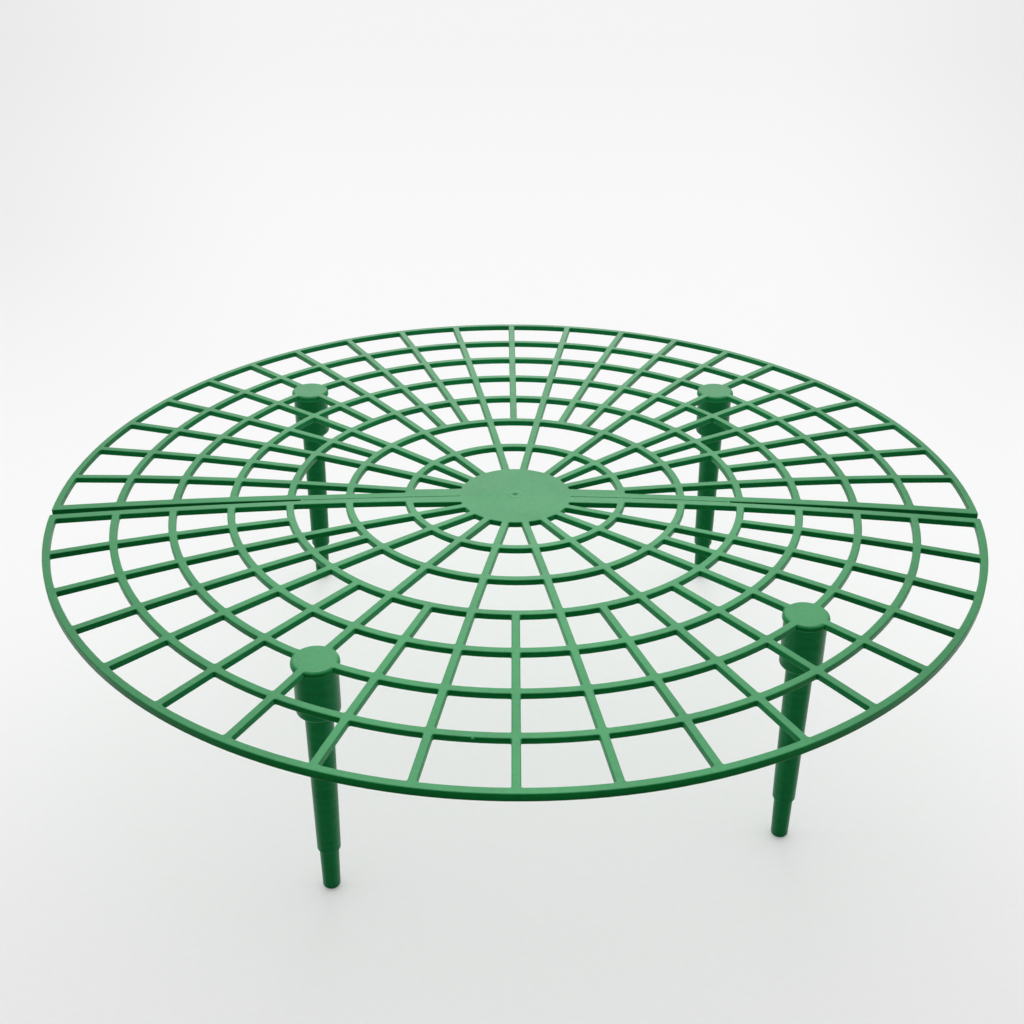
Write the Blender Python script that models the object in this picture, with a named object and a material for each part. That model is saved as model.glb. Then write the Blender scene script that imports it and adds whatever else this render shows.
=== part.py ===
# Plant support: a round moulded grid that stands on four push-on legs.
# Lengths are in metres. The grid lies in XY with its hub on the Z axis, and the ground is Z = 0.
# The front half is the -Y half. The seam between the halves runs out to both sides along X.

import math

import bpy
from mathutils import Vector
from mathutils.geometry import delaunay_2d_cdt

MM = 0.001

# Grid plate
HUB_TOP_HEIGHT = 80.4 * MM
GRID_THICKNESS = 2.0 * MM
HUB_RADIUS = 18.5 * MM
RIM_RADIUS = 150.1 * MM
RIM_WIDTH = 2.8 * MM
RING_COUNT = 6
RING_WIDTH = 2.4 * MM
FIRST_RING_RADIUS = 35.1 * MM
RING_SPACING = 19.4 * MM
RING_SPACING_LOSS = 0.33 * MM
SPOKE_WIDTH = 2.4 * MM
CELL_CORNER = 0.5 * MM

# Crown: the grid rises from the hub, is highest halfway out and drops again to the rim.
# Beside the seam a share of it is lost.
RIM_RISE = 0.4 * MM
CROWN_RISE = 1.7 * MM
SEAM_SAG = 0.5
SAG_REACH = 30.0 * MM

# Spokes, as degrees from the seam side. Both sides of a half mirror each other.
FRONT_MAIN_SPOKES = (24.2, 41.6, 60.6, 80.2)
FRONT_FIRST_SPOKE = 15.4
REAR_MAIN_SPOKES = (21.2, 38.1, 54.2, 80.9)
REAR_FIRST_SPOKE = 4.7
REAR_TURN = 0.5

# Seam: two bars that touch from the hub to the third ring, then part in a narrow slit
SEAM_MEETING = 0.7 * MM
SEAM_SLANT = 5.5
SEAM_BAR_WIDTH = 3.1 * MM
HUB_STRIP_REAR = 5.2 * MM
HUB_STRIP_FRONT = 4.1 * MM
SLIT_RING = 3
SLIT_INNER_END = 70.0 * MM
SLIT_INNER_WIDTH = 0.8 * MM
SLIT_OUTER_WIDTH = 3.0 * MM
GROOVE_WIDTH = 0.35 * MM
GROOVE_DEPTH = 0.3 * MM

# Gate mark in the middle of the hub
GATE_RING_RADIUS = 2.6 * MM
GATE_RING_HEIGHT = 0.15 * MM
GATE_DIMPLE_RADIUS = 1.2 * MM
GATE_DIMPLE_DEPTH = 0.5 * MM

# Pads on the fifth ring, each with a peg below that carries a leg
PAD_RING = 5
PAD_RADIUS = 6.8 * MM
PAD_BLEND = 6.0 * MM
PEG_RADIUS = 2.8 * MM
PEG_LENGTH = 12.0 * MM

# Legs
LEG_CLEARANCE = 0.3 * MM
HEAD_RADIUS = 6.25 * MM
HEAD_LENGTH = 15.3 * MM
HEAD_EDGE = 0.3 * MM
SHAFT_TOP_RADIUS = 4.0 * MM
SHAFT_FOOT_RADIUS = 3.45 * MM
TIP_TOP_RADIUS = 2.85 * MM
TIP_END_RADIUS = 2.6 * MM
TIP_LENGTH = 15.2 * MM
TIP_FLAT_RADIUS = 1.0 * MM

# Facets
ARC_SAGITTA = 0.135 * MM
ROUND_SIDES = 24
RIM_SIDES = 96
SHOULDER_STEPS = 4
SMOOTH_ANGLE = 35.0

CUT_TOLERANCE = 1e-5
EDGE_PASSES = 5
CORNER_SHARE = 0.4
FULL_TURN = 2 * math.pi


def polar(radius, angle):
    """The point at a radius and an angle around the hub."""
    return (radius * math.cos(angle), radius * math.sin(angle))


def circle(centre, radius, sides):
    """A closed loop of points around a centre, counterclockwise."""
    steps = [FULL_TURN * side / sides for side in range(sides)]
    return [(centre[0] + radius * math.cos(a), centre[1] + radius * math.sin(a)) for a in steps]


def ring_radius(ring):
    """Middle radius of a ring, counted from 1. Each space is a little narrower than the one inside it."""
    spaces = ring - 1
    lost = RING_SPACING_LOSS * spaces * (spaces - 1) / 2
    return FIRST_RING_RADIUS + RING_SPACING * spaces - lost


def between(first, second, share=0.5):
    """An angle part of the way from one spoke to the next."""
    return first + (second - first) * share


def front_spokes():
    """The front half's spokes on one side of the middle: angle from the seam, and the ring it starts at."""
    main = FRONT_MAIN_SPOKES
    return [
        (FRONT_FIRST_SPOKE, 3),
        (main[0], 0),
        (between(main[0], main[1]), 2),
        (main[1], 0),
        (between(main[1], main[2]), 3),
        (main[2], 0),
        (between(main[2], main[3]), 3),
        (main[3], 0),
    ]


def rear_spokes():
    """The rear half's spokes on one side of the middle, written the same way."""
    main = REAR_MAIN_SPOKES
    return [
        (REAR_FIRST_SPOKE, 1),
        (between(REAR_FIRST_SPOKE, main[0]), 3),
        (main[0], 0),
        (between(main[0], main[1]), 2),
        (main[1], 0),
        (between(main[1], main[2]), 3),
        (main[2], 0),
        (between(main[2], main[3], 1 / 3), 2),
        (between(main[2], main[3], 2 / 3), 2),
        (main[3], 0),
    ]


def half_spokes(rear):
    """Every spoke of one half as its polar angle and first ring, counterclockwise."""
    side = rear_spokes() if rear else front_spokes()
    middle = [(90.0, 2 if rear else 3)]
    mirrored = [(180.0 - angle, ring) for angle, ring in reversed(side)]
    start = REAR_TURN if rear else 180.0
    return [(math.radians(start + angle), ring) for angle, ring in side + middle + mirrored]


def seam_line(distance):
    """Y of the seam's middle at a distance from the hub along X, the same on both sides."""
    return SEAM_MEETING - math.tan(math.radians(SEAM_SLANT)) * distance


def slit_width(distance):
    """Width of the slit between the seam bars."""
    share = (distance - SLIT_INNER_END) / (RIM_RADIUS - SLIT_INNER_END)
    return SLIT_INNER_WIDTH + (SLIT_OUTER_WIDTH - SLIT_INNER_WIDTH) * share


def seam_bar_reach(band, rear, distance):
    """How far a seam bar's outer edge lies from the seam's middle."""
    if band == 0:
        return HUB_STRIP_REAR if rear else HUB_STRIP_FRONT
    if band < SLIT_RING:
        return SEAM_BAR_WIDTH
    return SEAM_BAR_WIDTH + slit_width(distance) / 2


def seam_edge_angle(band, rear, radius):
    """Polar angle at which the right seam bar's outer edge crosses a circle around the hub."""
    along = radius
    for _ in range(EDGE_PASSES):
        reach = seam_bar_reach(band, rear, along)
        across = seam_line(along) + (reach if rear else -reach)
        along = math.sqrt(radius * radius - across * across)
    return math.atan2(across, along)


def band_edges(band, rear):
    """Pairs of edges, as functions from radius to polar angle, between which each opening of a band lies."""
    def first_seam(radius):
        if rear:
            return seam_edge_angle(band, True, radius)
        return math.pi - seam_edge_angle(band, False, radius)

    def last_seam(radius):
        if rear:
            return math.pi - seam_edge_angle(band, True, radius)
        return FULL_TURN + seam_edge_angle(band, False, radius)

    def spoke_edge(angle, side):
        return lambda radius: angle + side * math.asin(SPOKE_WIDTH / 2 / radius)

    edges = [first_seam]
    for angle, first_ring in half_spokes(rear):
        if first_ring <= band:
            edges += [spoke_edge(angle, -1), spoke_edge(angle, 1)]
    edges.append(last_seam)
    return list(zip(edges[0::2], edges[1::2]))


def arc(radius, start, end):
    """Points along an arc around the hub, close enough for the allowed sagitta."""
    step = 2 * math.acos(1 - ARC_SAGITTA / radius)
    count = max(1, math.ceil(abs(end - start) / step))
    return [polar(radius, start + (end - start) * i / count) for i in range(count + 1)]


def soften_corners(points, corners):
    """Cut the listed corners of a loop back by the corner size, or less on a short side."""
    softened = []
    for index, point in enumerate(points):
        here = Vector(point)
        if index not in corners:
            softened.append(here)
            continue
        for neighbour in (points[index - 1], points[(index + 1) % len(points)]):
            side = Vector(neighbour) - here
            cut = min(CELL_CORNER, CORNER_SHARE * side.length)
            softened.append(here + side.normalized() * cut)
    return [tuple(point) for point in softened]


def opening(inner, outer, first_edge, last_edge):
    """One opening of the grid, between two radii and two edges, counterclockwise."""
    outside = arc(outer, first_edge(outer), last_edge(outer))
    inside = arc(inner, last_edge(inner), first_edge(inner))
    corners = {0, len(outside) - 1, len(outside), len(outside) + len(inside) - 1}
    return soften_corners(outside + inside, corners)


def grid_openings():
    """Every opening of both halves, band by band from the hub to the rim."""
    loops = []
    for band in range(RING_COUNT + 1):
        inner = HUB_RADIUS if band == 0 else ring_radius(band) + RING_WIDTH / 2
        outer = RIM_RADIUS - RIM_WIDTH if band == RING_COUNT else ring_radius(band + 1) - RING_WIDTH / 2
        for rear in (False, True):
            for first_edge, last_edge in band_edges(band, rear):
                loops.append(opening(inner, outer, first_edge, last_edge))
    return loops


def seam_strip(side, start, end, start_width, end_width):
    """A strip along the seam on one side, side being 1 on the right and -1 on the left."""
    upper = [(x, seam_line(x) + w / 2) for x, w in ((end, end_width), (start, start_width))]
    lower = [(x, seam_line(x) - w / 2) for x, w in ((start, start_width), (end, end_width))]
    loop = upper + lower
    return loop if side > 0 else [(-x, y) for x, y in reversed(loop)]


def slits():
    """The open slits, run past the rim so that they part it."""
    past_rim = RIM_RADIUS + RIM_WIDTH
    end_width = slit_width(past_rim)
    return [seam_strip(side, SLIT_INNER_END, past_rim, SLIT_INNER_WIDTH, end_width) for side in (1, -1)]


def grooves():
    """The shallow lines where the seam bars touch."""
    start = HUB_RADIUS
    return [seam_strip(side, start, SLIT_INNER_END, GROOVE_WIDTH, GROOVE_WIDTH) for side in (1, -1)]


def pad_centres():
    """Where the four legs stand, by node name."""
    radius = ring_radius(PAD_RING)
    front = [math.radians(FRONT_MAIN_SPOKES[2]), math.radians(FRONT_MAIN_SPOKES[1])]
    rear = math.radians(between(REAR_MAIN_SPOKES[1], REAR_MAIN_SPOKES[2]))
    turn = math.radians(REAR_TURN)
    return {
        "leg_front_left": polar(radius, math.pi + front[0]),
        "leg_front_right": polar(radius, -front[1]),
        "leg_rear_left": polar(radius, math.pi - rear + turn),
        "leg_rear_right": polar(radius, rear + turn),
    }


def crown(radius):
    """How far the grid stands above its hub at a radius."""
    share = max(0.0, radius - HUB_RADIUS) / (RIM_RADIUS - HUB_RADIUS)
    return RIM_RISE * share + 4 * CROWN_RISE * share * (1 - share)


def pad_rise():
    """How far the pads stand above the hub."""
    return crown(ring_radius(PAD_RING))


def rise(x, y):
    """The grid's height over its hub: crowned, level on the pads, and lower beside the seam."""
    height = crown(math.hypot(x, y))
    for centre in pad_centres().values():
        beyond = (math.hypot(x - centre[0], y - centre[1]) - PAD_RADIUS) / PAD_BLEND
        share = min(max(beyond, 0.0), 1.0)
        height = pad_rise() + (height - pad_rise()) * share
    near = max(0.0, 1 - abs(y - seam_line(abs(x))) / SAG_REACH)
    return height * (1 - SEAM_SAG * near ** 2)


def region_levels(tags):
    """Heights of the plate's top and bottom in one region, from the plate's top face."""
    top = 0.0
    bottom = -GRID_THICKNESS
    if "gate_ring" in tags:
        top = GATE_RING_HEIGHT
    if "gate_dimple" in tags:
        top = -GATE_DIMPLE_DEPTH
    if "groove" in tags:
        top = -GROOVE_DEPTH
    if "peg" in tags:
        bottom = -GRID_THICKNESS - PEG_LENGTH
    return top, bottom


def grid_regions():
    """Every outline of the plate with its tag. The first is the rim."""
    regions = [("rim", circle((0.0, 0.0), RIM_RADIUS, RIM_SIDES))]
    regions += [("opening", loop) for loop in grid_openings()]
    regions += [("slit", loop) for loop in slits()]
    regions += [("groove", loop) for loop in grooves()]
    regions.append(("gate_ring", circle((0.0, 0.0), GATE_RING_RADIUS, ROUND_SIDES // 2)))
    regions.append(("gate_dimple", circle((0.0, 0.0), GATE_DIMPLE_RADIUS, ROUND_SIDES // 2)))
    for centre in pad_centres().values():
        regions.append(("pad", circle(centre, PAD_RADIUS, ROUND_SIDES)))
        regions.append(("peg", circle(centre, PEG_RADIUS, ROUND_SIDES)))
    return regions


def triangulate(regions):
    """Cut the plane along every outline, and keep the triangles of material with their region's levels."""
    points = []
    faces = []
    for _, loop in regions:
        faces.append(list(range(len(points), len(points) + len(loop))))
        points += [Vector(point) / MM for point in loop]
    flat, _, triangles, _, _, owners = delaunay_2d_cdt(points, [], faces, 1, CUT_TOLERANCE)
    kept = []
    for triangle, owner in zip(triangles, owners):
        tags = {regions[index][0] for index in owner}
        solid = "pad" in tags or not tags & {"opening", "slit"}
        if "rim" in tags and solid:
            kept.append((tuple(triangle), region_levels(tags)))
    return [(point.x * MM, point.y * MM) for point in flat], kept


class Shell:
    """Gathers the faces of a closed plate whose top and bottom have levels."""

    def __init__(self, flat):
        self.flat = flat
        self.points = []
        self.numbers = {}
        self.faces = []
        self.levels = {}

    def number(self, point, level):
        """The index of one point of the outline at one level."""
        key = (point, level)
        if key not in self.numbers:
            x, y = self.flat[point]
            self.numbers[key] = len(self.points)
            self.points.append((x, y, HUB_TOP_HEIGHT + level + rise(x, y)))
        return self.numbers[key]

    def cover(self, triangle, level, facing_up):
        """A triangle of the top or the bottom."""
        order = triangle if facing_up else reversed(triangle)
        self.faces.append([self.number(point, level) for point in order])

    def wall(self, start, end, high, low):
        """An upright face under the edge from start to end, seen from the right of that edge."""
        def column(point):
            inside = [level for level in self.levels[point] if low <= level <= high]
            return sorted(inside, reverse=True)

        down = [self.number(start, level) for level in column(start)]
        up = [self.number(end, level) for level in reversed(column(end))]
        self.faces.append(down + up)


def plate_shell(flat, kept):
    """Top, bottom and walls of the plate, with a step wherever two regions differ in level."""
    shell = Shell(flat)
    sides = {}
    for triangle, levels in kept:
        for start, end in zip(triangle, triangle[1:] + triangle[:1]):
            sides[(start, end)] = levels
            shell.levels.setdefault(start, set()).update(levels)
    for triangle, (top, bottom) in kept:
        shell.cover(triangle, top, True)
        shell.cover(triangle, bottom, False)
    for (start, end), (top, bottom) in sides.items():
        beyond = sides.get((end, start))
        if beyond is None:
            shell.wall(start, end, top, bottom)
            continue
        if top > beyond[0]:
            shell.wall(start, end, top, beyond[0])
        if bottom < beyond[1]:
            shell.wall(start, end, beyond[1], bottom)
    return shell.points, shell.faces


def plastic(name, colour, roughness):
    """A plain moulded plastic."""
    material = bpy.data.materials.new(name)
    material.use_nodes = True
    shader = material.node_tree.nodes["Principled BSDF"]
    shader.inputs["Base Color"].default_value = (*colour, 1.0)
    shader.inputs["Roughness"].default_value = roughness
    shader.inputs["Metallic"].default_value = 0.0
    return material


def add_mesh(name, points, faces, material, location=(0.0, 0.0, 0.0)):
    """Add one closed solid to the scene, smooth where it is round."""
    mesh = bpy.data.meshes.new(name)
    mesh.from_pydata(points, [], faces)
    mesh.materials.append(material)
    mesh.shade_smooth()
    mesh.set_sharp_from_angle(angle=math.radians(SMOOTH_ANGLE))
    thing = bpy.data.objects.new(name, mesh)
    thing.location = location
    bpy.context.scene.collection.objects.link(thing)


def quarter(radius_start, height_start, radius_end, height_end):
    """Points inside a quarter of an ellipse that leaves its start upright and meets its end level."""
    points = []
    for step in range(1, SHOULDER_STEPS):
        turn = math.pi / 2 * step / SHOULDER_STEPS
        radius = radius_end + (radius_start - radius_end) * math.cos(turn)
        height = height_start + (height_end - height_start) * math.sin(turn)
        points.append((radius, height))
    return points


def leg_height():
    """A leg reaches from the ground to just below its pad."""
    return HUB_TOP_HEIGHT + pad_rise() - GRID_THICKNESS - LEG_CLEARANCE


def leg_profile():
    """Half section of a leg from the socket's floor round the outside to the foot, with its top at 0."""
    foot = -leg_height()
    socket_radius = PEG_RADIUS + LEG_CLEARANCE
    socket_floor = -PEG_LENGTH
    shoulder = HEAD_RADIUS - SHAFT_TOP_RADIUS
    step = SHAFT_FOOT_RADIUS - TIP_TOP_RADIUS
    tip_top = foot + TIP_LENGTH
    nose = TIP_END_RADIUS - TIP_FLAT_RADIUS
    profile = [
        (socket_radius, socket_floor),
        (socket_radius, -HEAD_EDGE),
        (socket_radius + HEAD_EDGE, 0.0),
        (HEAD_RADIUS - HEAD_EDGE, 0.0),
        (HEAD_RADIUS, -HEAD_EDGE),
        (HEAD_RADIUS, shoulder - HEAD_LENGTH),
    ]
    profile += quarter(HEAD_RADIUS, shoulder - HEAD_LENGTH, SHAFT_TOP_RADIUS, -HEAD_LENGTH)
    profile.append((SHAFT_TOP_RADIUS, -HEAD_LENGTH))
    profile.append((SHAFT_FOOT_RADIUS, tip_top + step))
    profile += quarter(SHAFT_FOOT_RADIUS, tip_top + step, TIP_TOP_RADIUS, tip_top)
    profile.append((TIP_TOP_RADIUS, tip_top))
    profile.append((TIP_END_RADIUS, foot + nose))
    profile += quarter(TIP_END_RADIUS, foot + nose, TIP_FLAT_RADIUS, foot)
    profile.append((TIP_FLAT_RADIUS, foot))
    return profile


def turned(profile):
    """Points and faces of a profile turned round Z, with a flat end across its first and last points."""
    points = []
    for radius, height in profile:
        points += [(x, y, height) for x, y in circle((0.0, 0.0), radius, ROUND_SIDES)]
    faces = [list(range(ROUND_SIDES))]
    for row in range(len(profile) - 1):
        for side in range(ROUND_SIDES):
            after = (side + 1) % ROUND_SIDES
            upper = row * ROUND_SIDES
            lower = upper + ROUND_SIDES
            faces.append([upper + side, lower + side, lower + after, upper + after])
    last = (len(profile) - 1) * ROUND_SIDES
    faces.append([last + side for side in reversed(range(ROUND_SIDES))])
    return points, faces


def add_grid():
    """The one moulded piece: hub, rings, spokes, seam bars, rim, pads and pegs."""
    flat, kept = triangulate(grid_regions())
    points, faces = plate_shell(flat, kept)
    add_mesh("grid_disc", points, faces, plastic("grid_green", (0.105, 0.400, 0.175), 0.42))


def add_legs():
    """Four equal legs, each hanging from its pad's peg with its origin on its own axis."""
    material = plastic("leg_green", (0.040, 0.205, 0.085), 0.40)
    points, faces = turned(leg_profile())
    for name, (x, y) in pad_centres().items():
        add_mesh(name, points, faces, material, (x, y, leg_height()))


def clear_scene():
    """Start from an empty scene."""
    for thing in list(bpy.data.objects):
        bpy.data.objects.remove(thing, do_unlink=True)


clear_scene()
add_grid()
add_legs()
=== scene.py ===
import math
from collections import namedtuple

import bpy
from mathutils import Matrix, Vector
from mathutils.geometry import delaunay_2d_cdt


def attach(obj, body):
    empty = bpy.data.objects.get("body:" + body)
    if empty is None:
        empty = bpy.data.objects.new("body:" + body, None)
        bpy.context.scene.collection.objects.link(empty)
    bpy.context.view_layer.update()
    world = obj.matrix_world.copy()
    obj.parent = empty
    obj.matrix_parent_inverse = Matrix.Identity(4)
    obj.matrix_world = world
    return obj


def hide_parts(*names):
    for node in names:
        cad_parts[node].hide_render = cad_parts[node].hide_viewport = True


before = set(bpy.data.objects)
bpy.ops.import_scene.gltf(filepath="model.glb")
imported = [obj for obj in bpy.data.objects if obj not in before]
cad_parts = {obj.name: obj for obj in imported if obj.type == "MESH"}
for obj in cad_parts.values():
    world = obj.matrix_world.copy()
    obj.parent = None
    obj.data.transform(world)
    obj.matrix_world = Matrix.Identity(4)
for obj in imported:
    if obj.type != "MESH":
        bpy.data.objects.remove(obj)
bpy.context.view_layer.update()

# The plant support's look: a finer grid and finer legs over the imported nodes, their plastics,
# the studio floor, the light and the camera. Shapes are in millimetres until a mesh is made, and
# materials, the floor and the camera are in metres.
MM = 0.001

# The grid's layout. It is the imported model's, but for the rim, which is a little narrower here
# and reaches lower at its outer wall by the lip.
TOP = 80.4
THICKNESS = 2.0
HUB_RADIUS = 18.5
RIM_RADIUS = 150.1
RIM_WIDTH = 2.35
RIM_LIP = 0.5
RING_COUNT = 6
RING_WIDTH = 2.4
FIRST_RING = 35.1
RING_SPACING = 19.4
SPACING_LOSS = 0.33
SPOKE_WIDTH = 2.4

# Its height over the hub
RIM_RISE = 0.4
CROWN_RISE = 1.7
SEAM_SAG = 0.5
SAG_REACH = 30.0

# Its spokes: angles of one quarter in degrees, the front half's from the left, the rear's from
# the right
FRONT_MAIN = (24.2, 41.6, 60.6, 80.2)
FRONT_FIRST = 15.4
REAR_MAIN = (21.2, 38.1, 54.2, 80.9)
REAR_FIRST = 4.7
REAR_TURN = 0.5

# Its seam: two bars from the hub that part in a slit at the third ring
SEAM_MEETING = 0.7
SEAM_SLANT = 5.5
SEAM_BAR = 3.1
STRIP_REAR = 5.2
STRIP_FRONT = 4.1
SLIT_RING = 3
SLIT_START = 70.0
SLIT_INNER = 0.8
SLIT_OUTER = 3.0

# The pads over the legs and their pegs
PAD_RING = 5
PAD_RADIUS = 6.8
PAD_BLEND = 6.0
PEG_RADIUS = 2.8
PEG_LENGTH = 12.0
PEG_FILLET = 0.25
PEG_CORNER = 0.5

# The legs' profile
CLEARANCE = 0.3
HEAD_RADIUS = 6.25
HEAD_LENGTH = 15.3
HEAD_CORNER = 0.12
SHAFT_TOP = 4.0
SHAFT_FOOT = 3.45
STEP_CORNER = 0.5
TIP_TOP = 2.85
TIP_END = 2.6
TIP_LENGTH = 15.2
TIP_FLAT = 1.0

# Rounded edges, as radii, and the corners of openings
TOP_EDGE = 0.36
PAD_EDGE = 1.05
LOW_EDGE = 0.26
CORNER = 0.55
PAD_CORNER = 0.5
SLIT_TIP_CORNER = 0.36
SLIT_MOUTH_CORNER = 0.6
GROOVE_CORNER = 0.1

# Small forms: the seam's grooves, the faint line on the hub, the gate mark and two flash nubs. A
# stage of a wall is (inset, level, tilt of its normal), and a point of a profile is (radius,
# height, corner radius).
UP = math.pi / 2
GROOVE_HALF = 0.11
GROOVE_STAGES = ((0.09, 0.0, UP), (0.03, -0.03, UP / 2), (0.0, -0.09, 0.0), (-0.05, -0.22, 0.0))
GROOVE_REACH = (HUB_RADIUS - 0.4, SLIT_START - 0.7)
HUB_LINE_HALF = 0.04
HUB_LINE_STAGES = ((0.05, 0.0, UP), (0.0, -0.02, 1.2), (-0.02, -0.03, 1.0))
HUB_LINE_REACH = (4.2, HUB_RADIUS - 1.3)
GATE_PROFILE = (
    (3.0, 0.0, 0.0), (2.6, 0.0, 0.3), (2.2, 0.08, 0.3), (1.4, 0.08, 0.2),
    (1.1, 0.0, 0.2), (0.8, -0.03, 0.1), (0.65, -0.3, 0.1), (0.04, -0.34, 0.0),
)
NUB_RADIUS = 0.55
NUB_HEIGHT = 0.4

# How finely curves are divided
SAGITTA = 0.02
PAD_STEP = math.radians(9)
CORNER_STEPS = 4
PROFILE_STEPS = 5
GATE_STEPS = 3
SLIT_STEPS = 10
GROOVE_SPACING = 8
LEG_SIDES = 72
GATE_SIDES = 40
PEG_SIDES = 32
NUB_SIDES = 16

# Limits of the rounding: gentler turns stay as they are, and a corner takes no more than its
# share of the edges beside it
LOOP_TURN = math.radians(12)
LOOP_SHARE = 0.42
PROFILE_TURN = math.radians(2)
PROFILE_SHARE = 0.45

# The plastics. Their colours are painted by facing: the dark wall colour is painted shade, and the
# paler colours of the grid's rear walls, of walls facing sideways and of faces turned up are
# painted light. Gloss is the specular level of sides, of edges seen at a glance, and what level
# tops have more.
Look = namedtuple("Look", "side far_side flank top side_gloss edge_gloss top_gloss")
GRID_LOOK = Look(
    side=(0.003, 0.128, 0.025), far_side=(0.010, 0.22, 0.060), flank=(0.02, 0.25, 0.08),
    top=(0.042, 0.314, 0.106), side_gloss=0.012, edge_gloss=0.32, top_gloss=0.42,
)
LEG_LOOK = Look(
    side=(0.004, 0.132, 0.035), far_side=None, flank=(0.022, 0.19, 0.07),
    top=(0.01, 0.20, 0.07), side_gloss=0.03, edge_gloss=0.35, top_gloss=0.1,
)
SPECK_COLOUR = (0.30, 0.55, 0.36)
SPECK_SHARE = 0.25

# How much darker than its plain colour the grid is, as shares: painted shade on the rear half, a
# blush near the gate, and painted shade at the sides (front, rear), beside the middle of the front
# and at the back. A painted highlight makes the raised ring round the gate lighter. The tones are
# what the painted shade leaves at the bottom of the lowest walls (front rim, elsewhere).
REAR_SHADE = 0.04
BLUSH_DROP = 0.07
RING_HIGHLIGHT_GAIN = 0.16
SIDE_SHADES = (0.25, 0.11)
FRONT_SHADE = 0.09
BACK_SHADE = 0.12
LOW_WALL_SHADES = (0.45, 0.72)

# The floor: its size and height, its tones with painted shade (near, under the part), the painted
# shade it loses far behind and there to the sides, and the tone and reach of the painted contact
# shadow where something stands on it
FLOOR_REACH = 9.0
FLOOR_LEVEL = -0.00005
FLOOR_SHADED_TONES = (0.795, 0.92)
FLOOR_FAR_SHADE = 0.045
FLOOR_SIDE_SHADE = 0.11
FLOOR_CONTACT = 0.66
FLOOR_CONTACT_SHADOW_REACH = 0.06

# The light: the sky's tones (in front, behind), the window's, what the camera sees, and the sun
SKY_TONES = (0.24, 0.52)
WINDOW_TONE = 1.25
SEEN_SKY = 0.83
SUN_STRENGTH = 1.9
SUN_ANGLE = math.radians(40)
SUN_TILT = math.radians(-14)

# The camera, as the grid's lines in the photograph give it: pitch, roll and yaw, and its place
CAMERA_TURNS = tuple(math.radians(a) for a in (29.18, 0.31, 0.15))
CAMERA_PLACE = (-0.0021, -0.4128, 0.3043)
CAMERA_LENS = 50.0
CAMERA_SENSOR = 36.0


# Layout
def polar(radius, angle):
    return (radius * math.cos(angle), radius * math.sin(angle))


def between(first, second, share=0.5):
    return first + (second - first) * share


def ring_radius(ring):
    spaces = ring - 1
    return FIRST_RING + RING_SPACING * spaces - SPACING_LOSS * spaces * (spaces - 1) / 2


def half_spokes(rear):
    """Angle and first ring of every spoke of one half, counterclockwise."""
    if rear:
        m = REAR_MAIN
        quarter = [
            (REAR_FIRST, 1), (between(REAR_FIRST, m[0]), 3), (m[0], 0), (between(m[0], m[1]), 2),
            (m[1], 0), (between(m[1], m[2]), 3), (m[2], 0), (between(m[2], m[3], 1 / 3), 2),
            (between(m[2], m[3], 2 / 3), 2), (m[3], 0),
        ]
    else:
        m = FRONT_MAIN
        quarter = [
            (FRONT_FIRST, 3), (m[0], 0), (between(m[0], m[1]), 2), (m[1], 0),
            (between(m[1], m[2]), 3), (m[2], 0), (between(m[2], m[3]), 3), (m[3], 0),
        ]
    middle = (90.0, 2 if rear else 3)
    spokes = quarter + [middle] + [(180.0 - angle, ring) for angle, ring in reversed(quarter)]
    start = REAR_TURN if rear else 180.0
    return [(math.radians(start + angle), ring) for angle, ring in spokes]


def seam_line(distance):
    return SEAM_MEETING - math.tan(math.radians(SEAM_SLANT)) * distance


def slit_width(distance):
    growth = SLIT_OUTER - SLIT_INNER
    return SLIT_INNER + growth * (distance - SLIT_START) / (RIM_RADIUS - SLIT_START)


def seam_edge_angle(band, rear, radius):
    """The angle at which a seam bar's outer edge meets a circle, found in a few rounds."""
    along = radius
    for _ in range(6):
        if band == 0:
            reach = STRIP_REAR if rear else STRIP_FRONT
        elif band < SLIT_RING:
            reach = SEAM_BAR
        else:
            reach = SEAM_BAR + slit_width(along) / 2
        across = seam_line(along) + (reach if rear else -reach)
        along = math.sqrt(radius * radius - across * across)
    return math.atan2(across, along)


def band_edges(band, rear):
    """Pairs of edges, as functions from radius to angle, with an opening between each pair."""
    def first_seam(radius):
        if rear:
            return seam_edge_angle(band, True, radius)
        return math.pi - seam_edge_angle(band, False, radius)

    def last_seam(radius):
        if rear:
            return math.pi - seam_edge_angle(band, True, radius)
        return 2 * math.pi + seam_edge_angle(band, False, radius)

    def spoke_edge(angle, side):
        return lambda radius: angle + side * math.asin(SPOKE_WIDTH / 2 / radius)

    edges = [first_seam]
    for angle, first_ring in half_spokes(rear):
        if first_ring <= band:
            edges += [spoke_edge(angle, -1), spoke_edge(angle, 1)]
    edges.append(last_seam)
    return list(zip(edges[0::2], edges[1::2]))


def pad_centres():
    radius = ring_radius(PAD_RING)
    rear = math.radians(between(REAR_MAIN[1], REAR_MAIN[2]))
    turn = math.radians(REAR_TURN)
    return {
        "front_left": polar(radius, math.pi + math.radians(FRONT_MAIN[2])),
        "front_right": polar(radius, -math.radians(FRONT_MAIN[1])),
        "rear_left": polar(radius, math.pi - rear + turn),
        "rear_right": polar(radius, rear + turn),
    }


def crown(radius):
    share = max(0.0, radius - HUB_RADIUS) / (RIM_RADIUS - HUB_RADIUS)
    return RIM_RISE * share + 4 * CROWN_RISE * share * (1 - share)


PADS = pad_centres()
PAD_RISE = crown(ring_radius(PAD_RING))

# Each nub's place and its height over the hub's top: one on the last ring, one on the seam's bar
NUBS = (
    (*polar(ring_radius(6) + 1.15, math.radians(265.2)), 0.75),
    (119.4, seam_line(119.4) + 2.0, 0.25),
)


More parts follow.
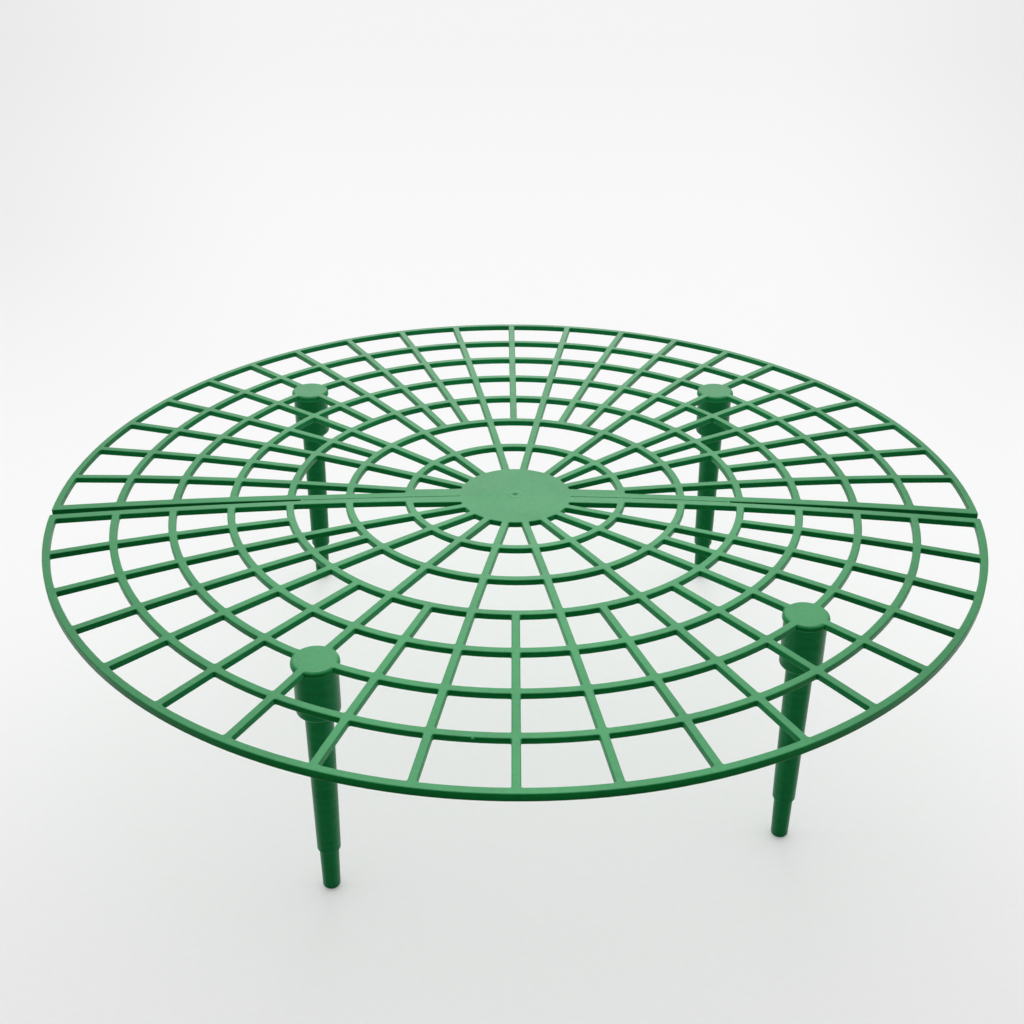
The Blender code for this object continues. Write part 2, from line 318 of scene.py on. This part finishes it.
def rise(x, y):
    """The grid's height over its hub: crowned, level on the pads, and lower beside the seam."""
    height = crown(math.hypot(x, y))
    for cx, cy in PADS.values():
        beyond = (math.hypot(x - cx, y - cy) - PAD_RADIUS) / PAD_BLEND
        height = PAD_RISE + (height - PAD_RISE) * min(max(beyond, 0.0), 1.0)
    near = max(0.0, 1 - abs(y - seam_line(abs(x))) / SAG_REACH)
    return height * (1 - SEAM_SAG * near ** 2)


def surface_normal(x, y):
    step = 0.5
    slope_x = (rise(x + step, y) - rise(x - step, y)) / (2 * step)
    slope_y = (rise(x, y + step) - rise(x, y - step)) / (2 * step)
    return Vector((-slope_x, -slope_y, 1.0)).normalized()


def on_pad_edge(point):
    return any(
        abs(math.hypot(point.x - x, point.y - y) - PAD_RADIUS) < 0.05 for x, y in PADS.values()
    )


# Loops seen from above. A loop starts as points (x, y, corner radius), and rounding its corners
# turns it into pairs of a point and the direction into the material.
def arc(radius, start, end):
    step = 2 * math.acos(1 - SAGITTA / radius)
    count = max(1, math.ceil(abs(end - start) / step))
    return [polar(radius, start + (end - start) * i / count) for i in range(count + 1)]


def cut_by_pad(points, centre):
    """A loop with the part inside a pad's circle replaced by the pad's edge."""
    def depth(p):
        return PAD_RADIUS - math.hypot(p[0] - centre[0], p[1] - centre[1])

    def crossing(a, b):
        low, high = 0.0, 1.0
        for _ in range(40):
            mid = (low + high) / 2
            p = (a[0] + (b[0] - a[0]) * mid, a[1] + (b[1] - a[1]) * mid)
            if (depth(p) > 0) == (depth(a) > 0):
                low = mid
            else:
                high = mid
        return p

    count = len(points)
    inside = [depth(p) > 0 for p in points]
    if not any(inside):
        return points
    first = next(i for i in range(count) if not inside[i] and inside[(i + 1) % count])
    turned = points[first:] + points[:first]
    inside = inside[first:] + inside[:first]
    last = max(i for i in range(count) if inside[i])
    enter = crossing(turned[0], turned[1])
    leave = crossing(turned[last], turned[(last + 1) % count])
    start = math.atan2(enter[1] - centre[1], enter[0] - centre[0])
    end = math.atan2(leave[1] - centre[1], leave[0] - centre[0])
    if end > start:
        end -= 2 * math.pi
    steps = max(2, math.ceil((start - end) / PAD_STEP))
    edge = []
    for i in range(steps + 1):
        angle = start + (end - start) * i / steps
        x = centre[0] + PAD_RADIUS * math.cos(angle)
        y = centre[1] + PAD_RADIUS * math.sin(angle)
        edge.append((x, y, PAD_CORNER if i in (0, steps) else 0.0))
    return [turned[0]] + edge + turned[last + 1:]


def rounded_loop(points, steps=CORNER_STEPS):
    """A loop with round corners. Gives points and unit normals to its right."""
    count = len(points)
    flat = [Vector(p[:2]) for p in points]
    directions = [(flat[(i + 1) % count] - flat[i]).normalized() for i in range(count)]
    rights = [Vector((d.y, -d.x)) for d in directions]
    loop = []
    for i in range(count):
        before, after = rights[i - 1], rights[i]
        turn = before.angle(after, 0.0)
        radius = points[i][2]
        if radius == 0.0 or turn < LOOP_TURN:
            loop.append((flat[i], (before + after).normalized()))
            continue
        behind = (flat[i] - flat[i - 1]).length
        ahead = (flat[(i + 1) % count] - flat[i]).length
        tangent = min(radius * math.tan(turn / 2), LOOP_SHARE * min(behind, ahead))
        radius = tangent / math.tan(turn / 2)
        side = 1 if directions[i - 1].cross(directions[i]) > 0 else -1
        start = flat[i] - directions[i - 1] * tangent
        centre = start - before * radius * side
        for step in range(steps + 1):
            normal = before.slerp(after, step / steps)
            loop.append((centre + normal * radius * side, normal))
    return loop


def grid_openings():
    loops = []
    for band in range(RING_COUNT + 1):
        inner = HUB_RADIUS if band == 0 else ring_radius(band) + RING_WIDTH / 2
        if band == RING_COUNT:
            outer = RIM_RADIUS - RIM_WIDTH
        else:
            outer = ring_radius(band + 1) - RING_WIDTH / 2
        for rear in (False, True):
            for first_edge, last_edge in band_edges(band, rear):
                outside = arc(outer, first_edge(outer), last_edge(outer))
                inside = arc(inner, last_edge(inner), first_edge(inner))
                count = len(outside) + len(inside)
                corners = {0, len(outside) - 1, len(outside), count - 1}
                points = [
                    (x, y, CORNER if i in corners else 0.0)
                    for i, (x, y) in enumerate(outside + inside)
                ]
                for centre in PADS.values():
                    points = cut_by_pad(points, centre)
                loops.append(rounded_loop(points))
    return loops


def outline():
    """The rim with its two slits as one loop."""
    def edge(side, upper, distance):
        y = seam_line(distance) + (0.5 if upper else -0.5) * slit_width(distance)
        return (side * distance, y)

    def rim_end(side, upper):
        distance = RIM_RADIUS
        for _ in range(8):
            distance = math.sqrt(RIM_RADIUS ** 2 - edge(side, upper, distance)[1] ** 2)
        return distance

    def slit_edge(side, upper, inwards):
        reach = rim_end(side, upper) - SLIT_START
        stops = [SLIT_START + reach * i / SLIT_STEPS for i in range(SLIT_STEPS + 1)]
        run = [(*edge(side, upper, d), 0.0) for d in stops]
        run[0] = (*run[0][:2], SLIT_TIP_CORNER)
        run[-1] = (*run[-1][:2], SLIT_MOUTH_CORNER)
        return run[::-1] if inwards else run

    def rim_arc(start, end):
        a0 = math.atan2(start[1], start[0]) % (2 * math.pi)
        a1 = math.atan2(end[1], end[0]) % (2 * math.pi)
        if a0 > a1:
            a0 -= 2 * math.pi
        return [(x, y, 0.0) for x, y in arc(RIM_RADIUS, a0, a1)[1:-1]]

    right_up = slit_edge(1, True, False)
    left_up = slit_edge(-1, True, True)
    left_low = slit_edge(-1, False, False)
    right_low = slit_edge(1, False, True)
    points = rim_arc(right_up[-1], left_up[0]) + left_up + left_low
    points += rim_arc(left_low[-1], right_low[0]) + right_low + right_up
    return [(p, -n) for p, n in rounded_loop(points)]


def groove_loop(side, start, end, half):
    """A narrow closed groove along the seam."""
    steps = max(2, round((end - start) / GROOVE_SPACING))
    stops = [start + (end - start) * i / steps for i in range(steps + 1)]
    points = [(x, seam_line(x) - half) for x in stops]
    points += [(x, seam_line(x) + half) for x in reversed(stops)]
    if side < 0:
        points = [(-x, y) for x, y in reversed(points)]
    return rounded_loop([(x, y, GROOVE_CORNER) for x, y in points], steps=1)


# Bodies
class Body:
    """Gathers the points, normals and faces of one piece."""

    def __init__(self):
        self.points = []
        self.normals = []
        self.faces = []

    def row(self, loop, inset, level, tilt):
        """Points round a loop, moved into the material, at a level, their normals tilted up. A
        pad's top edge is rounder than the others, and the rim's outer wall reaches lower."""
        first = len(self.points)
        upper = level > -THICKNESS / 2
        lower = level < -THICKNESS / 2
        for point, into in loop:
            wide = PAD_EDGE / TOP_EDGE if upper and on_pad_edge(point) else 1.0
            spot = point + into * inset * wide
            up = surface_normal(spot.x, spot.y)
            normal = Vector((-into.x, -into.y, 0.0)) * math.cos(tilt) + up * math.sin(tilt)
            drop = RIM_LIP if lower and spot.length > RIM_RADIUS - 0.5 else 0.0
            height = TOP + level * wide + rise(spot.x, spot.y) - drop
            self.points.append((spot.x, spot.y, height))
            self.normals.append(normal.normalized())
        return list(range(first, first + len(loop)))

    def strip(self, upper, lower, flip):
        count = len(upper)
        for i in range(count):
            j = (i + 1) % count
            face = [upper[i], upper[j], lower[j], lower[i]]
            self.faces.append(face[::-1] if flip else face)

    def wall(self, loop, stages, flip=False):
        rows = [self.row(loop, *stage) for stage in stages]
        for upper, lower in zip(rows, rows[1:]):
            self.strip(upper, lower, flip)
        return rows[0], rows[-1]

    def cover(self, rows, facing_up):
        """A flat face between the first row and the holes of the others."""
        owners = [i for row in rows for i in row]
        flat = [Vector(self.points[i][:2]) for i in owners]
        loops = []
        start = 0
        for row in rows:
            loops.append(list(range(start, start + len(row))))
            start += len(row)
        _, _, triangles, origins, _, kinds = delaunay_2d_cdt(flat, [], loops, 1, 1e-6)
        for triangle, kind in zip(triangles, kinds):
            if list(kind) == [0]:
                face = [owners[origins[p][0]] for p in triangle]
                self.faces.append(face if facing_up else face[::-1])

    def revolve(self, centre, profile, sides, inverted=False):
        """Rows for a profile of (radius, height, normal out, normal up) turned about an upright
        axis. An inverted one has its outside on the profile's other side."""
        rows = []
        for radius, height, out, up in profile:
            first = len(self.points)
            for i in range(sides):
                angle = 2 * math.pi * i / sides
                x = centre[0] + radius * math.cos(angle)
                y = centre[1] + radius * math.sin(angle)
                normal = Vector((out * math.cos(angle), out * math.sin(angle), up))
                self.points.append((x, y, height))
                self.normals.append(normal.normalized())
            rows.append(list(range(first, first + sides)))
        for upper, lower in zip(rows, rows[1:]):
            self.strip(upper, lower, inverted)
        return rows

    def mesh(self, name):
        data = bpy.data.meshes.new(name)
        data.from_pydata([(x * MM, y * MM, z * MM) for x, y, z in self.points], [], self.faces)
        data.shade_smooth()
        data.normals_split_custom_set_from_vertices([tuple(n) for n in self.normals])
        return data


def edge_stages():
    """Stages of an upright wall with a rounded top and bottom edge."""
    stages = []
    for step in range(4):
        turn = UP * (1 - step / 3)
        stages.append((TOP_EDGE * (1 - math.cos(turn)), TOP_EDGE * (math.sin(turn) - 1), turn))
    for step in range(3):
        turn = UP * step / 2
        level = -THICKNESS + LOW_EDGE * (1 - math.sin(turn))
        stages.append((LOW_EDGE * (1 - math.cos(turn)), level, -turn))
    return stages


def rounded_profile(points, steps=PROFILE_STEPS):
    """Profile points (radius, height, corner) with round corners, as (radius, height, normal
    out, normal up), the normals to the profile's right."""
    profile = []
    last = len(points) - 1
    for i, (r, z, corner) in enumerate(points):
        here = Vector((r, z))
        if i in (0, last):
            other = Vector(points[1][:2] if i == 0 else points[-2][:2])
            direction = (other - here) if i == 0 else (here - other)
            direction.normalize()
            profile.append((r, z, direction.y, -direction.x))
            continue
        back = Vector(points[i - 1][:2]) - here
        ahead = Vector(points[i + 1][:2]) - here
        d0, d1 = -back.normalized(), ahead.normalized()
        n0, n1 = Vector((d0.y, -d0.x)), Vector((d1.y, -d1.x))
        turn = n0.angle(n1, 0.0)
        if turn < PROFILE_TURN:
            normal = (n0 + n1).normalized()
            profile.append((r, z, normal.x, normal.y))
            continue
        room = (PROFILE_SHARE * back.length, PROFILE_SHARE * ahead.length)
        tangent = min(corner * math.tan(turn / 2), *room)
        radius = tangent / math.tan(turn / 2)
        side = 1 if d0.cross(d1) > 0 else -1
        centre = here - d0 * tangent - n0 * radius * side
        for step in range(steps + 1):
            normal = n0.slerp(n1, step / steps)
            spot = centre + normal * radius * side
            profile.append((spot.x, spot.y, normal.x, normal.y))
    return profile


def turned_outwards(profile):
    """The profile with its normals on the other side."""
    return [(r, z, -out, -up) for r, z, out, up in profile]


def build_grid():
    """The moulded grid with its pads, pegs, slits, seam grooves, gate mark and nubs."""
    body = Body()
    stages = edge_stages()
    rim_top, rim_low = body.wall(outline(), stages, flip=True)
    tops, lows = [rim_top], [rim_low]
    for loop in grid_openings():
        top, low = body.wall(loop, stages)
        tops.append(top)
        lows.append(low)
    grooves = [(groove_loop(side, *GROOVE_REACH, GROOVE_HALF), GROOVE_STAGES) for side in (1, -1)]
    grooves.append((groove_loop(-1, *HUB_LINE_REACH, HUB_LINE_HALF), HUB_LINE_STAGES))
    for loop, groove_stages in grooves:
        top, low = body.wall(loop, groove_stages)
        tops.append(top)
        body.faces.append(low)
    gate = rounded_profile([(r, TOP + z, corner) for r, z, corner in GATE_PROFILE], GATE_STEPS)
    rows = body.revolve((0.0, 0.0), gate, GATE_SIDES)
    tops.append(rows[0])
    body.faces.append(rows[-1])
    body.cover(tops, True)
    body.cover(lows, False)
    for x, y, z in NUBS:
        turns = [math.radians(a) for a in range(85, -90, -17)]
        dome = [
            (NUB_RADIUS * math.cos(t), TOP + z + NUB_HEIGHT * math.sin(t), math.cos(t), math.sin(t))
            for t in turns
        ]
        rows = body.revolve((x, y), dome, NUB_SIDES, inverted=True)
        body.faces.append(rows[0])
        body.faces.append(rows[-1][::-1])
    underside = TOP + PAD_RISE - THICKNESS
    peg = turned_outwards(rounded_profile([
        (PEG_RADIUS + PEG_FILLET, underside + 0.1, 0.0), (PEG_RADIUS, underside - 0.3, 0.3),
        (PEG_RADIUS, underside - PEG_LENGTH, PEG_CORNER), (0.1, underside - PEG_LENGTH, 0.0),
    ]))
    for centre in PADS.values():
        rows = body.revolve(centre, peg, PEG_SIDES, inverted=True)
        body.faces.append(rows[-1])
        body.faces.append(rows[0][::-1])
    return body


def build_leg():
    """One leg on its own axis, its foot on the ground."""
    top = TOP + PAD_RISE - THICKNESS - CLEARANCE
    shoulder = top - HEAD_LENGTH
    socket = PEG_RADIUS + CLEARANCE
    nose = TIP_END - TIP_FLAT
    profile = rounded_profile([
        (0.05, top - PEG_LENGTH, 0.0), (socket, top - PEG_LENGTH, 0.2),
        (socket, top - 0.3, 0.2), (socket + 0.3, top, 0.1),
        (HEAD_RADIUS, top, HEAD_CORNER), (HEAD_RADIUS, shoulder + 2.6, 0.3),
        (HEAD_RADIUS - 0.03, shoulder + 0.2, 1.9), (SHAFT_TOP + 0.02, shoulder, 0.25),
        (SHAFT_FOOT, TIP_LENGTH + 0.5, 0.2), (SHAFT_FOOT - 0.02, TIP_LENGTH, STEP_CORNER),
        (TIP_TOP, TIP_LENGTH - 0.05, 0.15), (TIP_END, nose * 0.6, 1.2),
        (TIP_END - 0.5, nose * 0.18, 1.2), (TIP_FLAT, 0.0, 0.5), (0.05, 0.0, 0.0),
    ])
    body = Body()
    rows = body.revolve((0.0, 0.0), turned_outwards(profile), LEG_SIDES, inverted=True)
    body.faces.append(rows[0][::-1])
    body.faces.append(rows[-1])
    return body


# Shader nodes
def connect(tree, socket, value):
    if isinstance(value, bpy.types.NodeSocket):
        tree.links.new(value, socket)
    else:
        socket.default_value = value


def add(tree, kind, settings=(), **inputs):
    """A node with its properties and inputs set. An input is named with _ for a space, or by its
    number as i0, i1 and so on."""
    made = tree.nodes.new(kind)
    for key, value in dict(settings).items():
        setattr(made, key, value)
    for key, value in inputs.items():
        numbered = key[0] == "i" and key[1:].isdigit()
        connect(tree, made.inputs[int(key[1:]) if numbered else key.replace("_", " ")], value)
    return made


def ramp(tree, value, low, high, start=0.0, end=1.0):
    """A value mapped smoothly from one range to another."""
    made = add(tree, "ShaderNodeMapRange", {"interpolation_type": "SMOOTHSTEP"}, Value=value,
               From_Min=low, From_Max=high, To_Min=start, To_Max=end)
    return made.outputs["Result"]


def calculate(tree, operation, first, *others):
    """One operation over two or more values, or on one alone."""
    result = first
    for value in others or (0.0,):
        made = add(tree, "ShaderNodeMath", {"operation": operation}, i0=result, i1=value)
        result = made.outputs[0]
    return result


def blend_colour(tree, share, a, b, mode="MIX"):
    made = tree.nodes.new("ShaderNodeMix")
    made.data_type = "RGBA"
    made.blend_type = mode
    connect(tree, made.inputs[0], share)
    for socket, value in ((made.inputs[6], a), (made.inputs[7], b)):
        connect(tree, socket, (*value, 1.0) if isinstance(value, tuple) else value)
    return made.outputs[2]


def grey(tree, level):
    return add(tree, "ShaderNodeCombineColor", (), Red=level, Green=level, Blue=level).outputs[0]


def noise(tree, where, scale, detail=3.0, roughness=0.5):
    made = add(tree, "ShaderNodeTexNoise", (), Vector=where, Scale=scale, Detail=detail,
               Roughness=roughness)
    return made.outputs["Fac"]


def axes(tree, vector):
    return add(tree, "ShaderNodeSeparateXYZ", (), Vector=vector).outputs


def new_material(name):
    """A new material, its node tree, its shader and the position on its piece."""
    material = bpy.data.materials.new(name)
    material.use_nodes = True
    tree = material.node_tree
    where = tree.nodes.new("ShaderNodeTexCoord").outputs["Object"]
    return material, tree, tree.nodes["Principled BSDF"], where


# Materials
def leg_rings_and_painted_foot_shade(tree, where):
    """Faint turned rings, and painted contact shade darkening the foot."""
    along = add(tree, "ShaderNodeMapping", (), Vector=where, Scale=(0.12, 0.12, 1.0))
    rings = noise(tree, along.outputs["Vector"], 900.0, 3.0, 0.6)
    rings = ramp(tree, rings, 0.25, 0.75, 0.92, 1.07)
    # The second tone is painted contact shade, darker towards the foot
    return rings, ramp(tree, axes(tree, where)["Z"], 0.0, 0.004, 0.72, 1.0)


def grid_blush_and_painted_shade(tree, where):
    """Painted shade on the rear half, a blush near the gate with a painted highlight on the raised
    ring round it, painted shade at the sides, front and back, and painted shade darkening low walls
    downwards."""
    x, y, z = axes(tree, where)
    # The rear half takes painted shade; this mask also limits the blush to the rear
    rear = ramp(tree, y, -0.0012, 0.0004)
    spread = add(tree, "ShaderNodeVectorMath", {"operation": "LENGTH"}, i0=where).outputs["Value"]
    near = calculate(tree, "SUBTRACT", ramp(tree, spread, 0.0030, 0.0045),
                     ramp(tree, spread, 0.0060, 0.0100))
    # A painted highlight on the raised ring round the gate
    ring_highlight = calculate(tree, "SUBTRACT", ramp(tree, spread, 0.0012, 0.0016),
                       ramp(tree, spread, 0.0021, 0.0026))
    blush_and_ring_highlight = calculate(tree, "SUBTRACT", calculate(tree, "MULTIPLY", near, rear, BLUSH_DROP),
                      calculate(tree, "MULTIPLY", ring_highlight, RING_HIGHLIGHT_GAIN))
    # Painted shade at the sides, beside the middle of the front and at the back
    out = calculate(tree, "ABSOLUTE", x)
    sides = calculate(tree, "MULTIPLY", ramp(tree, out, 0.05, 0.15),
                      ramp(tree, y, -0.12, 0.08, *SIDE_SHADES))
    front = calculate(tree, "MULTIPLY", ramp(tree, out, 0.02, 0.07),
                      ramp(tree, y, -0.11, -0.06, FRONT_SHADE, 0.0))
    back = ramp(tree, y, 0.10, 0.145, 0.0, BACK_SHADE)
    drop = calculate(tree, "ADD", calculate(tree, "MULTIPLY", rear, REAR_SHADE), blush_and_ring_highlight, sides,
                     front, back)
    # Painted shade darkening the walls towards their bottom, most on the front rim
    low_wall_shade = ramp(tree, y, -0.150, -0.136, *LOW_WALL_SHADES)
    return (calculate(tree, "SUBTRACT", 1.0, drop),
            ramp(tree, z, 0.0776, 0.0802, low_wall_shade, 1.0))


def plastic(name, look, tones):
    """Moulded polypropylene: walls darkened with painted shade, paler painted light on walls that
    face sideways, on the grid's rear walls and on faces turned up, more gloss on level tops, flow
    and sink variation, and a fine moulded grain."""
    material, tree, shader, where = new_material(name)
    normal = axes(tree, tree.nodes.new("ShaderNodeNewGeometry").outputs["Normal"])
    # Painted light by facing: faces turned up take the paler top colour, and walls keep the dark
    # colour as painted shade
    painted_top_light_share = ramp(tree, normal["Z"], 0.10, 0.70)
    level_top = ramp(tree, normal["Z"], 0.70, 0.98)
    # Painted light: walls facing sideways take a paler colour
    flank = ramp(tree, calculate(tree, "ABSOLUTE", normal["X"]), 0.3, 1.0)
    side = look.side
    # Painted light: the grid's walls on the rear half take a paler colour
    if look.far_side:
        side = blend_colour(tree, ramp(tree, axes(tree, where)["Y"], -0.05, 0.13), side,
                            look.far_side)
    colour = blend_colour(tree, painted_top_light_share, blend_colour(tree, flank, side, look.flank), look.top)
    patches = ramp(tree, noise(tree, where, 38.0, 3.0), 0.3, 0.7, 0.94, 1.06)
    mottle = ramp(tree, noise(tree, where, 620.0, 4.0, 0.6), 0.2, 0.8, 0.92, 1.08)
    tone = calculate(tree, "MULTIPLY", patches, mottle, *tones(tree, where))
    colour = blend_colour(tree, 1.0, colour, grey(tree, tone), "MULTIPLY")
    specks = ramp(tree, noise(tree, where, 1500.0, 2.0, 0.7), 0.72, 0.8)
    specks = calculate(tree, "MULTIPLY", specks, SPECK_SHARE)
    colour = blend_colour(tree, specks, colour, SPECK_COLOUR)
    rough = ramp(tree, noise(tree, where, 95.0, 4.0, 0.6), 0.25, 0.75, 0.36, 0.46)
    facing = tree.nodes.new("ShaderNodeLayerWeight").outputs["Facing"]
    gloss = ramp(tree, facing, 0.35, 0.95, look.side_gloss, look.edge_gloss)
    haze = calculate(tree, "MULTIPLY", level_top, look.top_gloss)
    sinks = add(tree, "ShaderNodeBump", (), Strength=0.5, Distance=0.00012,
                Height=noise(tree, where, 150.0, 2.0))
    grain = add(tree, "ShaderNodeBump", (), Strength=0.35, Distance=0.00003,
                Height=noise(tree, where, 2600.0, 3.0, 0.6), Normal=sinks.outputs["Normal"])
    connect(tree, shader.inputs["Base Color"], colour)
    connect(tree, shader.inputs["Roughness"], rough)
    connect(tree, shader.inputs["Specular IOR Level"], calculate(tree, "ADD", gloss, haze))
    connect(tree, shader.inputs["Normal"], grain.outputs["Normal"])
    return material


def floor_material():
    """A pale seamless paper floor, with painted shade darkening it near the camera and in the far
    corners, and a painted contact shadow where the feet touch it."""
    material, tree, shader, where = new_material("studio_floor")
    x, y, _ = axes(tree, where)
    # Painted shade: darker towards the camera and far behind
    level = calculate(tree, "SUBTRACT", ramp(tree, y, -0.19, 0.06, *FLOOR_SHADED_TONES),
                      ramp(tree, y, 0.35, 1.2, 0.0, FLOOR_FAR_SHADE))
    # Painted shade falling off towards the far corners
    aside = calculate(tree, "DIVIDE", calculate(tree, "SUBTRACT", x, 0.015),
                      calculate(tree, "ADD", y, 0.55))
    aside = ramp(tree, calculate(tree, "ABSOLUTE", aside), 0.14, 0.40)
    falloff = calculate(tree, "MULTIPLY", aside, ramp(tree, y, 0.10, 0.55, 0.0, FLOOR_SIDE_SHADE))
    # A painted contact shadow from ambient occlusion where something stands on the floor
    contact_shadow = add(tree, "ShaderNodeAmbientOcclusion", {"samples": 8},
                  Distance=FLOOR_CONTACT_SHADOW_REACH).outputs["AO"]
    level = calculate(tree, "MULTIPLY", level, calculate(tree, "SUBTRACT", 1.0, falloff),
                      ramp(tree, contact_shadow, 0.30, 1.0, FLOOR_CONTACT, 1.0))
    fibres = ramp(tree, noise(tree, where, 420.0, 3.0), 0.3, 0.7, 0.995, 1.005)
    colour = blend_colour(tree, 1.0, grey(tree, level), grey(tree, fibres), "MULTIPLY")
    grain = add(tree, "ShaderNodeBump", (), Strength=0.1, Distance=0.0001,
                Height=noise(tree, where, 900.0, 2.0))
    connect(tree, shader.inputs["Base Color"], colour)
    connect(tree, shader.inputs["Roughness"], 0.85)
    connect(tree, shader.inputs["Specular IOR Level"], 0.1)
    connect(tree, shader.inputs["Normal"], grain.outputs["Normal"])
    return material


# The scene
def put(name, thing_data):
    thing = bpy.data.objects.new(name, thing_data)
    bpy.context.scene.collection.objects.link(thing)
    return thing


def add_pieces():
    grid_plastic = plastic("grid_plastic", GRID_LOOK, grid_blush_and_painted_shade)
    leg_plastic = plastic("leg_plastic", LEG_LOOK, leg_rings_and_painted_foot_shade)
    data = build_grid().mesh("moulded_grid")
    data.materials.append(grid_plastic)
    grid = put("moulded_grid", data)
    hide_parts("grid_disc")
    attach(grid, "grid")
    for name, (x, y) in PADS.items():
        data = build_leg().mesh("turned_leg_" + name)
        data.materials.append(leg_plastic)
        leg = put("turned_leg_" + name, data)
        leg.location = (x * MM, y * MM, 0.0)
        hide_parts("leg_" + name)
        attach(leg, name + "_leg")
    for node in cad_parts.values():
        finish = grid_plastic if node.name == "grid_disc" else leg_plastic
        for slot in node.material_slots:
            slot.material = finish


def add_floor():
    data = bpy.data.meshes.new("studio_floor")
    signs = ((-1, -1), (1, -1), (1, 1), (-1, 1))
    corners = [(x * FLOOR_REACH, y * FLOOR_REACH, FLOOR_LEVEL) for x, y in signs]
    data.from_pydata(corners, [], [(0, 1, 2, 3)])
    data.materials.append(floor_material())
    put("studio_floor", data)


def add_world():
    """A soft sky, brighter behind the part, with a window there. The camera sees a plain pale
    backdrop instead."""
    world = bpy.data.worlds.new("studio_world")
    bpy.context.scene.world = world
    world.use_nodes = True
    tree = world.node_tree
    x, y, z = axes(tree, tree.nodes.new("ShaderNodeTexCoord").outputs["Generated"])
    window = calculate(tree, "MULTIPLY",
                       ramp(tree, calculate(tree, "ABSOLUTE", x), 0.0, 0.38, WINDOW_TONE, 0.0),
                       ramp(tree, y, 0.1, 0.6), ramp(tree, z, 0.45, 1.0, 1.0, 0.0))
    level = calculate(tree, "ADD", ramp(tree, y, -0.7, 0.5, *SKY_TONES), window)
    seen = tree.nodes.new("ShaderNodeLightPath").outputs["Is Camera Ray"]
    level = ramp(tree, seen, 0.0, 1.0, level, SEEN_SKY)
    connect(tree, tree.nodes["Background"].inputs["Color"], grey(tree, level))


def add_lamp():
    lamp = bpy.data.lights.new("overhead_wash", "SUN")
    lamp.energy = SUN_STRENGTH
    lamp.angle = SUN_ANGLE
    lamp.use_shadow = False
    put("overhead_wash", lamp).rotation_euler = (SUN_TILT, 0.0, 0.0)


def add_camera():
    """The photograph's viewpoint."""
    def about_z(angle):
        cos, sin = math.cos(angle), math.sin(angle)
        return Matrix(((cos, -sin, 0), (sin, cos, 0), (0, 0, 1)))

    pitch, roll, yaw = CAMERA_TURNS
    cos, sin = math.cos(pitch), math.sin(pitch)
    rows = about_z(roll) @ Matrix(((1, 0, 0), (0, -sin, -cos), (0, cos, -sin))) @ about_z(yaw)
    data = bpy.data.cameras.new("photo_camera")
    data.lens = CAMERA_LENS
    data.sensor_width = CAMERA_SENSOR
    data.sensor_fit = "HORIZONTAL"
    data.clip_start = 0.01
    data.clip_end = 60.0
    camera = put("photo_camera", data)
    facing = Matrix((rows[0], -rows[1], -rows[2])).transposed()
    camera.matrix_world = Matrix.Translation(CAMERA_PLACE) @ facing.to_4x4()
    bpy.context.scene.camera = camera


add_pieces()
add_floor()
add_world()
add_lamp()
add_camera()
bpy.context.scene.view_settings.view_transform = "Standard"
